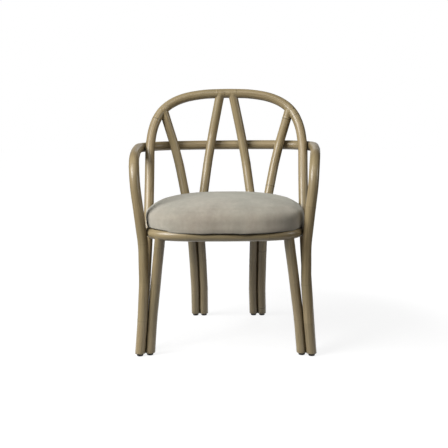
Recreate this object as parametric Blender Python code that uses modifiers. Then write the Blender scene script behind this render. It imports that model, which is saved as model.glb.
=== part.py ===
"""Cane armchair: bent rattan poles joined round a seat ring, with a loose seat pad.

Metres, +Z up. The sitter faces -Y, the floor is Z = 0, and until the last step
Y = 0 is the line of the front feet. Left is the sitter's right, at -X.
"""

import math

import bmesh
import bpy
import numpy as np
from mathutils import Vector

# Pole diameters, and the gap left wherever two pieces touch
POLE_D = 0.030
SPINDLE_D = 0.029
RING_D = 0.030
PROP_D = 0.030
BAR_D = 0.024
JOINT_GAP = 0.0003

# Seat ring: a rounded square in plan, widest at RING_MID_Y
RING_Z = 0.377
RING_HALF_WIDTH = 0.2265
RING_FRONT_Y = -0.0625
RING_MID_Y = 0.105
RING_REAR_Y = 0.325
RING_FRONT_SQUARENESS = 3.6
RING_REAR_SQUARENESS = 2.9

# Arm rail: front leg, arm and back rail in one pole
ARM_FOOT_X = 0.2603
ARM_SHIN_X = 0.2447
ARM_SHIN_Z = 0.182
ARM_NECK_X = 0.2620
ARM_ELBOW_X = 0.2670
ARM_FRONT_Z = 0.595
ARM_BEND_R = 0.080
ARM_Z = 0.610
RAIL_TURN_Y = 0.265
RAIL_REAR_Y = 0.447
RAIL_SQUARENESS = 2.9
ARM_WIDENED_AT_BEND = 0.3
ARM_WIDENED_HALFWAY = 0.7

# Back hoop: side post, arch and side post in one pole
HOOP_FOOT_OUT = 0.0015
HOOP_SEAT_Y = 0.205
HOOP_RAIL_Y = 0.325
HOOP_HALF_WIDTH = 0.2505
HOOP_SPRING_Z = 0.550
CROWN_Y = 0.430
CROWN_Z = 0.785
ARCH_TOP_SQUARENESS = 2.7
ARCH_SIDE_SQUARENESS = 4.0

# Spindles: each runs from the arch, past the rail and the ring, to a rear foot
INNER_TOP_X = 0.0215
INNER_RAIL_X = 0.0555
INNER_LOIN_X = 0.0778
INNER_SEAT_X = 0.0868
OUTER_TOP_X = 0.2115
OUTER_RAIL_X = 0.1760
OUTER_LOIN_X = 0.1416
OUTER_SEAT_X = 0.1275
LOIN_Z = 0.460
PAIR_TOUCH_X = 0.1055
PAIR_TOUCH_Z = 0.280
PAIR_SHIN_X = 0.1016
PAIR_SHIN_Z = 0.140
PAIR_FOOT_X = 0.1036
REAR_FOOT_Y = 0.483
SPINDLE_LAP = 0.0005
SPINDLE_TOP_DROP = 0.004

# Front props: short poles from the front feet to the underside of the ring
PROP_TOP_X = 0.190
PROP_KNEE_IN = 0.0385
PROP_KNEE_Z = 0.254
PROP_SHIN_Z = 0.140
PROP_BEHIND = 0.0100
PROP_TOP_DROP = 0.008

# Seat deck and the bars that carry it
DECK_THICKNESS = 0.010
BAR_SPACING = 0.120

# Seat pad
PAD_FRONT_OVERHANG = 0.024
PAD_MID_Y = 0.090
PAD_SQUARENESS = 2.8
PAD_CROWN = 0.0885
PAD_RIM_HEIGHT = 0.034
PAD_TOP_FULLNESS = 2.1
PAD_BASE_FULLNESS = 16.0
PAD_CLEARANCE = 0.0085

# Floor glides
GLIDE_D = 0.018
GLIDE_HEIGHT = 0.005
GLIDE_EDGE = 0.001
GLIDE_SIDES = 12

# Screws: countersunk, one wherever two poles are joined
SCREW_D = 0.0045
SCREW_HEAD_D = 0.0085
SCREW_HEAD_HEIGHT = 0.003
SCREW_SUNK = 0.0008
SCREW_BITE = 0.019
SCREW_POINT = 0.004
SCREW_SIDES = 8
END_SCREW_RUN = 0.030
BORE_MOUTH = 0.003

# Facets: sides of a pole, and how far a bend turns or a straight runs in one of its steps
POLE_BEVEL_STEPS = 5
TURN_PER_STEP = math.radians(9.0)
LONGEST_STEP = 0.110
SAMPLES_PER_SPAN = 40
RING_SAMPLES = 321
BAR_END_SAMPLES = 9
ARCH_ANGLES = (0.0, 18.0, 36.0, 54.0, 72.0, 90.0)
RAIL_ANGLES = (0.0, 20.0, 40.0, 55.0, 70.0, 90.0)
NEARNESS_STEP = 0.003
SETTLE_ROUNDS = 20
SETTLE_PASSES = 3
END_ALLOWANCE = 0.020
WELD = 0.00001
SHARP_ANGLE = math.radians(40.0)
PAD_SEGMENTS = 40
PAD_RINGS = 22

CANE = (0.330, 0.255, 0.160, 1.0)
CANE_PALE = (0.370, 0.290, 0.190, 1.0)
PLYWOOD = (0.420, 0.300, 0.180, 1.0)
VELVET = (0.440, 0.400, 0.345, 1.0)
NYLON = (0.030, 0.028, 0.026, 1.0)
STEEL = (0.450, 0.420, 0.360, 1.0)

CHAIR = "cane_armchair"
CUTTERS = "cutters"
BORES = "bores"


# Scene, materials and collections

def clear_scene():
    for obj in list(bpy.data.objects):
        bpy.data.objects.remove(obj, do_unlink=True)


def new_collection(name):
    collection = bpy.data.collections.new(name)
    bpy.context.scene.collection.children.link(collection)
    return collection


def principled(name, colour, roughness, metallic=0.0):
    material = bpy.data.materials.new(name)
    material.use_nodes = True
    shader = material.node_tree.nodes["Principled BSDF"]
    shader.inputs["Base Color"].default_value = colour
    shader.inputs["Roughness"].default_value = roughness
    shader.inputs["Metallic"].default_value = metallic
    return material


# Paths

def superellipse_reach(share, squareness):
    """How far along one half-axis the outline reaches at a share of the other."""
    return (1.0 - min(abs(share), 1.0) ** squareness) ** (1.0 / squareness)


def smooth_path(points):
    """Close samples of a natural cubic spline through the points."""
    knots = np.array(points, float)
    spans = np.linalg.norm(np.diff(knots, axis=0), axis=1)
    count = len(knots)
    system = np.eye(count)
    right = np.zeros((count, 3))
    for i in range(1, count - 1):
        before, after = spans[i - 1], spans[i]
        system[i, i - 1:i + 2] = before, 2.0 * (before + after), after
        slope_after = (knots[i + 1] - knots[i]) / after
        slope_before = (knots[i] - knots[i - 1]) / before
        right[i] = 6.0 * (slope_after - slope_before)
    bend = np.linalg.solve(system, right)
    pieces = [knots[:1]]
    for i, span in enumerate(spans):
        share = np.linspace(0.0, 1.0, SAMPLES_PER_SPAN + 1)[1:, None]
        rest = 1.0 - share
        straight = rest * knots[i] + share * knots[i + 1]
        start_bend = (rest ** 3 - rest) * bend[i]
        end_bend = (share ** 3 - share) * bend[i + 1]
        pieces.append(straight + (start_bend + end_bend) * span ** 2 / 6.0)
    return np.concatenate(pieces)


def thinned(path):
    """The same path with a point only where it has turned or run far enough."""
    kept = [path[0]]
    turned = 0.0
    run = 0.0
    for before, here, after in zip(path[:-2], path[1:-1], path[2:]):
        arriving = here - before
        leaving = after - here
        cosine = arriving @ leaving / np.linalg.norm(arriving) / np.linalg.norm(leaving)
        turned += math.acos(min(1.0, cosine))
        run += np.linalg.norm(arriving)
        if turned >= TURN_PER_STEP or run >= LONGEST_STEP:
            kept.append(here)
            turned = 0.0
            run = 0.0
    kept.append(path[-1])
    return np.array(kept)


def mirrored_whole(half):
    """A pole from its left half, which ends on the middle plane."""
    return np.concatenate([half, half[-2::-1] * (-1.0, 1.0, 1.0)])


def half_of(points):
    """The left half of a smooth pole, from points that end on the middle plane."""
    knots = np.array(points, float)
    whole = smooth_path(mirrored_whole(knots))
    return thinned(whole[:SAMPLES_PER_SPAN * (len(knots) - 1) + 1])


def lengthened(path, at_start, at_end):
    """The path run on straight past its ends, to be cut back."""
    first = path[0] - path[1]
    last = path[-1] - path[-2]
    start = path[0] + first / np.linalg.norm(first) * at_start
    end = path[-1] + last / np.linalg.norm(last) * at_end
    return np.concatenate([[start], path[1:-1], [end]])


def fine(path):
    """Points along the path's straight steps, close enough to measure between."""
    pieces = [path[:1]]
    for start, end in zip(path[:-1], path[1:]):
        count = max(1, math.ceil(np.linalg.norm(end - start) / NEARNESS_STEP))
        share = np.linspace(0.0, 1.0, count + 1)[1:, None]
        pieces.append(start + (end - start) * share)
    return np.concatenate(pieces)


def nearest(first, second):
    """The least distance between two paths, and the two points where it is found."""
    a = fine(first)
    b = fine(second)
    squared = (a ** 2).sum(1)[:, None] + (b ** 2).sum(1)[None, :] - 2.0 * a @ b.T
    i, j = np.unravel_index(np.argmin(squared), squared.shape)
    return math.sqrt(max(squared[i, j], 0.0)), a[i], b[j]


def settle(distance_at, near, far, wanted):
    """The value between near and far at which the distance reaches the wanted one."""
    for _ in range(SETTLE_ROUNDS):
        middle = 0.5 * (near + far)
        if distance_at(middle) < wanted:
            near = middle
        else:
            far = middle
    return far


def touching(first_d, second_d):
    return 0.5 * (first_d + second_d) + JOINT_GAP


# The poles' centre lines, each settled against the ones it touches

def ring_path():
    half = []
    for angle in np.linspace(-math.pi / 2, math.pi / 2, RING_SAMPLES):
        is_front = angle < 0.0
        squareness = RING_FRONT_SQUARENESS if is_front else RING_REAR_SQUARENESS
        reach = RING_MID_Y - RING_FRONT_Y if is_front else RING_REAR_Y - RING_MID_Y
        across = max(math.cos(angle), 0.0) ** (2.0 / squareness)
        along = math.copysign(abs(math.sin(angle)) ** (2.0 / squareness), angle)
        half.append((-RING_HALF_WIDTH * across, RING_MID_Y + reach * along, RING_Z))
    return mirrored_whole(thinned(np.array(half)))


def hoop_half(seat_x):
    foot_y = touching(POLE_D, POLE_D)
    points = [
        (-(ARM_FOOT_X + HOOP_FOOT_OUT), foot_y, 0.0),
        (-seat_x, HOOP_SEAT_Y, RING_Z),
    ]
    rise = CROWN_Z - HOOP_SPRING_Z
    for angle in np.radians(ARCH_ANGLES):
        across = max(math.cos(angle), 0.0) ** (2.0 / ARCH_TOP_SQUARENESS)
        up = math.sin(angle) ** (2.0 / ARCH_SIDE_SQUARENESS)
        z = HOOP_SPRING_Z + rise * up
        points.append((-HOOP_HALF_WIDTH * across, hoop_lean(z), z))
    points[-1] = (0.0, CROWN_Y, CROWN_Z)
    return half_of(points)


def hoop_lean(z):
    """How far back the hoop lies at a height between the rail and the crown."""
    share = (z - ARM_Z) / (CROWN_Z - ARM_Z)
    return HOOP_RAIL_Y + (CROWN_Y - HOOP_RAIL_Y) * share


def arm_half(seat_x, arm_x):
    bend = ARM_BEND_R
    corner = bend * math.sqrt(0.5)
    widening = arm_x - ARM_ELBOW_X
    points = [
        (-ARM_FOOT_X, 0.0, 0.0),
        (-ARM_SHIN_X, 0.0, ARM_SHIN_Z),
        (-seat_x, 0.0, RING_Z),
        (-ARM_NECK_X, 0.0, ARM_FRONT_Z - bend),
        (-ARM_ELBOW_X, bend - corner, ARM_FRONT_Z - bend + corner),
        (-ARM_ELBOW_X - widening * ARM_WIDENED_AT_BEND, bend, ARM_FRONT_Z),
        (-ARM_ELBOW_X - widening * ARM_WIDENED_HALFWAY, (bend + RAIL_TURN_Y) / 2, (ARM_FRONT_Z + ARM_Z) / 2),
    ]
    for angle in np.radians(RAIL_ANGLES):
        across = max(math.cos(angle), 0.0) ** (2.0 / RAIL_SQUARENESS)
        along = math.sin(angle) ** (2.0 / RAIL_SQUARENESS)
        y = RAIL_TURN_Y + (RAIL_REAR_Y - RAIL_TURN_Y) * along
        points.append((-arm_x * across, y, ARM_Z))
    return half_of(points)


def spindle_path(xs, spread, seat_y, rail_y, top):
    """A spindle and rear leg, from its foot up to its top."""
    rail_x, loin_x, seat_x = xs
    points = []
    for pair_x, z in ((PAIR_FOOT_X, 0.0), (PAIR_SHIN_X, PAIR_SHIN_Z), (PAIR_TOUCH_X, PAIR_TOUCH_Z)):
        points.append((-(pair_x + spread), REAR_FOOT_Y + (seat_y - REAR_FOOT_Y) * z / RING_Z, z))
    points.append((-seat_x, seat_y, RING_Z))
    share = (LOIN_Z - RING_Z) / (ARM_Z - RING_Z)
    points.append((-loin_x, seat_y + (rail_y - seat_y) * share, LOIN_Z))
    points.append((-rail_x, rail_y, ARM_Z))
    points.append(top)
    return thinned(smooth_path(points))


def prop_path(arm, inward, top):
    """A front prop: beside the arm's front leg, then away from it to the ring."""
    leg = arm[arm[:, 2] < ARM_FRONT_Z - ARM_BEND_R]
    points = []
    heights = (0.0, PROP_SHIN_Z, PROP_KNEE_Z)
    for z, away, behind in zip(
            heights, (inward, inward, PROP_KNEE_IN), (PROP_BEHIND, PROP_BEHIND, 0.0)):
        points.append((np.interp(z, leg[:, 2], leg[:, 0]) + away, behind, z))
    points.append(top)
    return thinned(smooth_path(points))


def above_seat(path):
    return path[path[:, 2] > RING_Z]


def settled_poles():
    """Every pole's centre line by name, on the left half or whole."""
    ring = ring_path()
    ring_left = left_of(ring)
    beyond = 4.0 * POLE_D

    hoop_seat_x = settle(
        lambda x: nearest(hoop_half(x), ring_left)[0],
        RING_HALF_WIDTH, RING_HALF_WIDTH + beyond, touching(POLE_D, RING_D))
    hoop = hoop_half(hoop_seat_x)

    arm_seat_x = settle(
        lambda x: nearest(arm_half(x, ARM_ELBOW_X), ring_left)[0],
        RING_HALF_WIDTH - POLE_D, RING_HALF_WIDTH + beyond, touching(POLE_D, RING_D))
    post = above_seat(hoop)
    arm_x = settle(
        lambda x: nearest(above_seat(arm_half(arm_seat_x, x)), post)[0],
        HOOP_HALF_WIDTH, HOOP_HALF_WIDTH + beyond, touching(POLE_D, POLE_D))
    arm = arm_half(arm_seat_x, arm_x)

    poles = {"ring": ring, "hoop": hoop, "arm": arm}
    poles["inner"], poles["outer"] = settled_spindles(hoop, ring_left, arm)

    prop_top = point_at_x(ring_left[ring_left[:, 1] < RING_MID_Y], -PROP_TOP_X)
    prop_top = prop_top - (0.0, 0.0, PROP_TOP_DROP)
    inward = settle(
        lambda x: nearest(prop_path(arm, x, prop_top), arm)[0],
        0.0, beyond, touching(PROP_D, POLE_D))
    poles["prop"] = prop_path(arm, inward, prop_top)
    return poles


def point_at_x(path, x):
    """The point of a path, one that runs across, at a given X."""
    order = np.argsort(path[:, 0])
    ordered = path[order]
    return np.array([np.interp(x, ordered[:, 0], ordered[:, i]) for i in range(3)])


def spindle_top(hoop, top_x):
    """Where a spindle ends: a little in front of the arch's centre line and below it."""
    arch = hoop[hoop[:, 2] >= HOOP_SPRING_Z]
    return point_at_x(arch, -top_x) - (0.0, SPINDLE_LAP, SPINDLE_TOP_DROP)


def settled_spindles(hoop, ring, rail):
    """The inner and outer spindles, against the ring, the rail and each other's legs."""
    shapes = [
        ((INNER_RAIL_X, INNER_LOIN_X, INNER_SEAT_X), -1.0, spindle_top(hoop, INNER_TOP_X)),
        ((OUTER_RAIL_X, OUTER_LOIN_X, OUTER_SEAT_X), 1.0, spindle_top(hoop, OUTER_TOP_X)),
    ]
    spread = 0.5 * touching(SPINDLE_D, SPINDLE_D)
    for _ in range(SETTLE_PASSES):
        places = [slid_spindle(xs, side * spread, top, ring, rail) for xs, side, top in shapes]
        spread = settle(
            lambda half: nearest(*spindle_pair(shapes, places, half))[0],
            0.0, SPINDLE_D, touching(SPINDLE_D, SPINDLE_D))
    return spindle_pair(shapes, places, spread)


def spindle_pair(shapes, places, spread):
    return [
        spindle_path(xs, side * spread, *place, top)
        for (xs, side, top), place in zip(shapes, places)]


def slid_spindle(xs, spread, top, ring, rail):
    """How far back a spindle lies at the seat and at the rail, to touch ring and rail."""
    off_ring = touching(SPINDLE_D, RING_D)
    off_rail = touching(SPINDLE_D, POLE_D)
    rail_y = RAIL_REAR_Y - off_rail
    for _ in range(SETTLE_PASSES):
        seat_y = settle(
            lambda y: nearest(spindle_path(xs, spread, y, rail_y, top), ring)[0],
            RING_REAR_Y - off_ring, RING_REAR_Y + 2.0 * off_ring, off_ring)
        rail_y = settle(
            lambda y: nearest(spindle_path(xs, spread, seat_y, y, top), rail)[0],
            RAIL_REAR_Y, RAIL_REAR_Y - 4.0 * off_rail, off_rail)
    return seat_y, rail_y


# Solids

def add_object(name, mesh, material, collection):
    obj = bpy.data.objects.new(name, mesh)
    mesh.materials.clear()
    mesh.materials.append(material)
    collection.objects.link(obj)
    return obj


def pole(name, path, diameter, material, collection, closed=False):
    """A round pole along a path, as a closed mesh."""
    places = path[:-1] if closed else path
    curve = bpy.data.curves.new(name, "CURVE")
    curve.dimensions = "3D"
    curve.bevel_depth = 0.5 * diameter
    curve.bevel_resolution = POLE_BEVEL_STEPS
    curve.use_fill_caps = not closed
    spline = curve.splines.new("POLY")
    spline.points.add(len(places) - 1)
    for point, place in zip(spline.points, places):
        point.co = (*place, 1.0)
    spline.use_cyclic_u = closed
    return solid_from_curve(name, curve, material, collection)


def solid_from_curve(name, curve, material, collection):
    drawn = bpy.data.objects.new(name + "_line", curve)
    collection.objects.link(drawn)
    bpy.context.view_layer.update()
    evaluated = drawn.evaluated_get(bpy.context.evaluated_depsgraph_get())
    mesh = bpy.data.meshes.new_from_object(evaluated)
    bpy.data.objects.remove(drawn)
    shape = bmesh.new()
    shape.from_mesh(mesh)
    bmesh.ops.remove_doubles(shape, verts=shape.verts, dist=WELD)
    bmesh.ops.recalc_face_normals(shape, faces=shape.faces)
    shape.to_mesh(mesh)
    shape.free()
    mesh.shade_smooth()
    mesh.set_sharp_from_angle(angle=SHARP_ANGLE)
    mesh.name = name
    return add_object(name, mesh, material, collection)


def cut_level(obj, height):
    """Cuts a pole's feet off level at a height."""
    shape = bmesh.new()
    shape.from_mesh(obj.data)
    everything = shape.verts[:] + shape.edges[:] + shape.faces[:]
    bmesh.ops.bisect_plane(
        shape, geom=everything, plane_co=(0.0, 0.0, height), plane_no=(0.0, 0.0, 1.0), clear_inner=True)
    rims = [edge for edge in shape.edges if edge.is_boundary]
    bmesh.ops.holes_fill(shape, edges=rims)
    bmesh.ops.recalc_face_normals(shape, faces=shape.faces)
    shape.to_mesh(obj.data)
    shape.free()


def hide_cutter(obj):
    obj.hide_render = True
    obj.display_type = "WIRE"


def cut_by(obj, cutter, label):
    boolean = obj.modifiers.new(label, "BOOLEAN")
    boolean.operation = "DIFFERENCE"
    boolean.solver = "EXACT"
    boolean.object = cutter


def cut_by_all(obj, cutters, label):
    boolean = obj.modifiers.new(label, "BOOLEAN")
    boolean.operation = "DIFFERENCE"
    boolean.solver = "EXACT"
    boolean.operand_type = "COLLECTION"
    boolean.collection = cutters


def mirrored(path):
    return path * (-1.0, 1.0, 1.0)


def turned_mesh(name, profile):
    """An open profile of radius and height, from the top down, as a mesh to be turned."""
    mesh = bpy.data.meshes.new(name)
    shape = bmesh.new()
    corners = [shape.verts.new((radius, 0.0, height)) for radius, height in profile]
    for upper, lower in zip(corners[:-1], corners[1:]):
        shape.edges.new((upper, lower))
    shape.to_mesh(mesh)
    shape.free()
    return mesh


def turn(obj, sides):
    screw = obj.modifiers.new("turn", "SCREW")
    screw.steps = sides
    screw.render_steps = sides
    screw.use_merge_vertices = True
    screw.merge_threshold = WELD


def screw_profile(length, grown, mouth):
    """A countersunk screw with its head's top at zero height, or the bore that is grown round it."""
    shank = SCREW_D / 2 + grown
    head = SCREW_HEAD_D / 2 + grown
    profile = [(0.0, mouth), (head, mouth)]
    if mouth > 0.0:
        profile.append((head, 0.0))
    profile.append((shank, -SCREW_HEAD_HEIGHT))
    profile.append((shank, SCREW_POINT - length))
    profile.append((0.0, -length - grown))
    return profile


def screw(name, first, second, first_d, material, chair, bores):
    """A screw through one pole at the first point and on into another towards the second."""
    along = (second - first) / np.linalg.norm(second - first)
    length = first_d - SCREW_SUNK + JOINT_GAP + SCREW_BITE
    place = first - along * (first_d / 2 - SCREW_SUNK)
    driven = Vector((0.0, 0.0, -1.0)).rotation_difference(Vector(along))
    solid = add_object(name, turned_mesh(name, screw_profile(length, 0.0, 0.0)), material, chair)
    bore_profile = screw_profile(length, JOINT_GAP, BORE_MOUTH)
    bore = add_object(name + "_bore", turned_mesh(name + "_bore", bore_profile), material, bores)
    hide_cutter(bore)
    for obj in (solid, bore):
        turn(obj, SCREW_SIDES)
        obj.location = place
        obj.rotation_mode = "QUATERNION"
        obj.rotation_quaternion = driven


def joint_lines(poles):
    """For each screwed joint, its name, two points on its axis and the first pole's diameter."""
    lapped = [
        ("rail_post", "arm", "hoop", POLE_D), ("rail_inner", "arm", "inner", POLE_D),
        ("rail_outer", "arm", "outer", POLE_D), ("ring_post", "ring", "hoop", RING_D),
        ("ring_arm", "ring", "arm", RING_D), ("ring_inner", "ring", "inner", RING_D),
        ("ring_outer", "ring", "outer", RING_D), ("pair", "inner", "outer", SPINDLE_D),
        ("prop_arm", "prop", "arm", PROP_D),
    ]
    ended = [
        ("ring_prop", "ring", "prop", RING_D), ("hoop_inner", "hoop", "inner", POLE_D),
        ("hoop_outer", "hoop", "outer", POLE_D),
    ]
    lines = []
    for name, first, second, diameter in lapped:
        upper = above_seat if name == "rail_post" else np.array
        _, start, end = nearest(left_of(upper(poles[first])), upper(poles[second]))
        lines.append((name, start, end, diameter))
    for name, first, second, diameter in ended:
        path = poles[second]
        back = (path[-2] - path[-1]) / np.linalg.norm(path[-2] - path[-1])
        _, start, _ = nearest(left_of(poles[first]), path[-1:])
        lines.append((name, start, path[-1] + back * END_SCREW_RUN, diameter))
    return lines


def left_of(path):
    return path[path[:, 0] <= 0.0]


def glide(name, path, material, collection):
    """A nylon glide under the foot at the low end of a path."""
    foot = [np.interp(GLIDE_HEIGHT, path[:2, 2], path[:2, i]) for i in range(2)]
    bpy.ops.mesh.primitive_cylinder_add(
        vertices=GLIDE_SIDES, radius=0.5 * GLIDE_D, depth=GLIDE_HEIGHT,
        location=(foot[0], foot[1], 0.5 * GLIDE_HEIGHT))
    obj = bpy.context.object
    for owner in list(obj.users_collection):
        owner.objects.unlink(obj)
    collection.objects.link(obj)
    obj.name = name
    obj.data.name = name
    obj.data.materials.append(material)
    edge = obj.modifiers.new("edge", "BEVEL")
    edge.width = GLIDE_EDGE
    edge.segments = 1
    edge.limit_method = "ANGLE"
    return obj


def seat_deck(ring, material, collection):
    """The board inside the ring, its top level with the ring's."""
    below_top = RING_D / 2 - DECK_THICKNESS
    inset = math.sqrt(max((RING_D / 2) ** 2 - max(below_top, 0.0) ** 2, 0.0)) + JOINT_GAP
    outline = ring[:-1]
    along = np.roll(outline, -1, axis=0) - np.roll(outline, 1, axis=0)
    inward = np.stack([along[:, 1], -along[:, 0], 0.0 * along[:, 0]], axis=1)
    inward /= np.linalg.norm(inward, axis=1)[:, None]
    curve = bpy.data.curves.new("seat_deck", "CURVE")
    curve.dimensions = "2D"
    curve.fill_mode = "BOTH"
    curve.extrude = 0.5 * DECK_THICKNESS
    spline = curve.splines.new("POLY")
    spline.points.add(len(outline) - 1)
    for point, place in zip(spline.points, outline + inward * inset):
        point.co = (place[0], place[1], 0.0, 1.0)
    spline.use_cyclic_u = True
    deck = solid_from_curve("seat_deck", curve, material, collection)
    deck.location.z = RING_Z + RING_D / 2 - DECK_THICKNESS / 2
    return deck


def seat_bar(name, y, ring, material, collection):
    """A straight bar from side to side, just under the deck."""
    left = ring[ring[:, 0] < 0.0]
    near = np.linspace(y - BAR_D / 2, y + BAR_D / 2, BAR_END_SAMPLES)
    half_width = min(-np.interp(near, left[:, 1], left[:, 0]))
    end = half_width - RING_D / 2 - JOINT_GAP
    z = RING_Z + RING_D / 2 - DECK_THICKNESS - JOINT_GAP - BAR_D / 2
    line = np.array([(-end, y, z), (end, y, z)])
    return pole(name, line, BAR_D, material, collection)


def pad_shape(half_width, rear_y):
    """The seat pad over its base: a crowned cushion, full at the rim and flat below."""
    shape = bmesh.new()
    bmesh.ops.create_uvsphere(shape, u_segments=PAD_SEGMENTS, v_segments=PAD_RINGS, radius=1.0)
    front_y = RING_FRONT_Y - PAD_FRONT_OVERHANG
    for vertex in shape.verts:
        across, back, up = vertex.co
        share = min(math.hypot(across, back), 1.0)
        turn = math.atan2(back, across)
        power = 2.0 / PAD_SQUARENESS
        out_x = math.copysign(abs(math.cos(turn)) ** power, math.cos(turn)) * half_width
        out_y = math.copysign(abs(math.sin(turn)) ** power, math.sin(turn))
        out_y *= rear_y - PAD_MID_Y if back > 0.0 else PAD_MID_Y - front_y
        if up > 0.0:
            rise = PAD_CROWN - PAD_RIM_HEIGHT
            z = PAD_RIM_HEIGHT + rise * superellipse_reach(share, PAD_TOP_FULLNESS)
        else:
            z = PAD_RIM_HEIGHT * (1.0 - superellipse_reach(share, PAD_BASE_FULLNESS))
        vertex.co = (out_x * share, out_y * share, z)
    return shape


def pad_base():
    """The place of the pad's origin, on its underside."""
    return np.array([0.0, PAD_MID_Y, RING_Z + RING_D / 2 + JOINT_GAP])


def pad_distance(half_width, rear_y, path, diameter):
    shape = pad_shape(half_width, rear_y)
    skin = np.array([vertex.co[:] for vertex in shape.verts]) + pad_base()
    shape.free()
    left = skin[skin[:, 0] <= 0.0]
    line = fine(path)
    squared = (left ** 2).sum(1)[:, None] + (line ** 2).sum(1)[None, :] - 2.0 * left @ line.T
    return math.sqrt(max(squared.min(), 0.0)) - diameter / 2


def seat_pad(poles, material, collection):
    """The loose pad, as wide as fits between the poles and as deep as fits before the spindles."""
    reach = 2.0 * RING_HALF_WIDTH
    rear_y = min(settle(
        lambda y: pad_distance(RING_HALF_WIDTH, -y, poles[name], SPINDLE_D),
        -RING_REAR_Y - reach, -RING_MID_Y, PAD_CLEARANCE) * -1.0 for name in ("inner", "outer"))
    half_width = min(settle(
        lambda x: pad_distance(-x, rear_y, poles[name], POLE_D),
        -reach, -RING_HALF_WIDTH / 2, PAD_CLEARANCE) * -1.0 for name in ("hoop", "arm"))
    shape = pad_shape(half_width, rear_y)
    mesh = bpy.data.meshes.new("seat_pad")
    shape.to_mesh(mesh)
    shape.free()
    mesh.shade_smooth()
    pad = add_object("seat_pad", mesh, material, collection)
    pad.location = pad_base()
    return pad


def stand_in_middle(chair, cutter_groups):
    """Hangs everything on one empty, placed so that the floor's middle under the chair is the origin."""
    bpy.context.view_layer.update()
    graph = bpy.context.evaluated_depsgraph_get()
    corners = []
    for obj in chair.objects:
        evaluated = obj.evaluated_get(graph)
        corners += [evaluated.matrix_world @ Vector(corner) for corner in evaluated.bound_box]
    low = [min(corner[i] for corner in corners) for i in range(3)]
    high = [max(corner[i] for corner in corners) for i in range(3)]
    datum = bpy.data.objects.new("chair_datum", None)
    datum.location = (-0.5 * (low[0] + high[0]), -0.5 * (low[1] + high[1]), -low[2])
    for group in (chair, *cutter_groups):
        for obj in group.objects:
            obj.parent = datum
    chair.objects.link(datum)


def build():
    clear_scene()
    chair = new_collection(CHAIR)
    cutters = new_collection(CUTTERS)
    bores = new_collection(BORES)
    cane = principled("cane", CANE, 0.42)
    cane_pale = principled("cane_spindles", CANE_PALE, 0.42)
    plywood = principled("plywood", PLYWOOD, 0.60)
    velvet = principled("velvet", VELVET, 0.90)
    nylon = principled("nylon", NYLON, 0.50)
    steel = principled("screw_steel", STEEL, 0.40, 1.0)

    poles = settled_poles()
    foot_level = GLIDE_HEIGHT + JOINT_GAP
    ring = poles["ring"]

    hoop_line = mirrored_whole(poles["hoop"])
    hoop_long = lengthened(hoop_line, END_ALLOWANCE, END_ALLOWANCE)
    arm_long = lengthened(mirrored_whole(poles["arm"]), END_ALLOWANCE, END_ALLOWANCE)
    seat_ring = pole("seat_ring", ring, RING_D, cane, chair, closed=True)
    hoop = pole("back_hoop", hoop_long, POLE_D, cane, chair)
    arm = pole("arm_rail", arm_long, POLE_D, cane, chair)
    cut_level(hoop, foot_level)
    cut_level(arm, foot_level)
    for bored in (seat_ring, hoop, arm):
        cut_by_all(bored, bores, "bores")

    hoop_cope = pole("hoop_cope", hoop_line, POLE_D + 2 * JOINT_GAP, cane, cutters)
    ring_cope = pole("ring_cope", ring, RING_D + 2 * JOINT_GAP, cane, cutters, closed=True)
    hide_cutter(hoop_cope)
    hide_cutter(ring_cope)

    for side, turned in (("left", lambda path: path), ("right", mirrored)):
        for name in ("inner", "outer"):
            line = turned(poles[name])
            long_line = lengthened(line, END_ALLOWANCE, 0.0)
            spindle = pole("spindle_" + name + "_" + side, long_line, SPINDLE_D, cane_pale, chair)
            cut_level(spindle, foot_level)
            cut_by(spindle, hoop_cope, "cope")
            cut_by_all(spindle, bores, "bores")
            glide("glide_rear_" + name + "_" + side, line, nylon, chair)
        line = turned(poles["prop"])
        prop = pole("front_prop_" + side, lengthened(line, END_ALLOWANCE, 0.0), PROP_D, cane, chair)
        cut_level(prop, foot_level)
        cut_by(prop, ring_cope, "cope")
        cut_by_all(prop, bores, "bores")
        glide("glide_prop_" + side, line, nylon, chair)
        glide("glide_arm_" + side, turned(poles["arm"]), nylon, chair)
        glide("glide_hoop_" + side, turned(poles["hoop"]), nylon, chair)
        for joint, start, end, diameter in joint_lines(poles):
            screw("screw_" + joint + "_" + side, turned(start), turned(end), diameter, steel, chair, bores)

    seat_deck(ring, plywood, chair)
    seat_bar("seat_bar_front", RING_MID_Y - BAR_SPACING / 2, ring, cane, chair)
    seat_bar("seat_bar_rear", RING_MID_Y + BAR_SPACING / 2, ring, cane, chair)
    seat_pad(poles, velvet, chair)
    stand_in_middle(chair, (cutters, bores))


build()
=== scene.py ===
import math

import bmesh
import bpy
import numpy as np
from mathutils import Matrix, Vector
from mathutils.bvhtree import BVHTree


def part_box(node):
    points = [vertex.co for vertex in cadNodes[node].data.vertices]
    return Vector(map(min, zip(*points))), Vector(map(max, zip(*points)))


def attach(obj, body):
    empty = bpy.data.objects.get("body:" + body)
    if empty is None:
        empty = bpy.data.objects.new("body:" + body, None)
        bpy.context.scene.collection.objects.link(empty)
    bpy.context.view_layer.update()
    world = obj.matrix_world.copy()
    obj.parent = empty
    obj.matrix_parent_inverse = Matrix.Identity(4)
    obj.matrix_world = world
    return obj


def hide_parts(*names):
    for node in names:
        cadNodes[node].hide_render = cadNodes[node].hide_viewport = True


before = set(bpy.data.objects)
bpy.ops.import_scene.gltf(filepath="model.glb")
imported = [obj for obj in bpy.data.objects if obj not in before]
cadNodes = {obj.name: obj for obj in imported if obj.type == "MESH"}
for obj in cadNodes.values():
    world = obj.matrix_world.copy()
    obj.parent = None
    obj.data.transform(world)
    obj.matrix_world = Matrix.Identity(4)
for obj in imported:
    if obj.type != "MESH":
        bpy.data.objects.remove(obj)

scene = bpy.context.scene
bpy.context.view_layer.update()  # the solids' own box, before anything is dressed


# small helpers for building node trees

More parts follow.
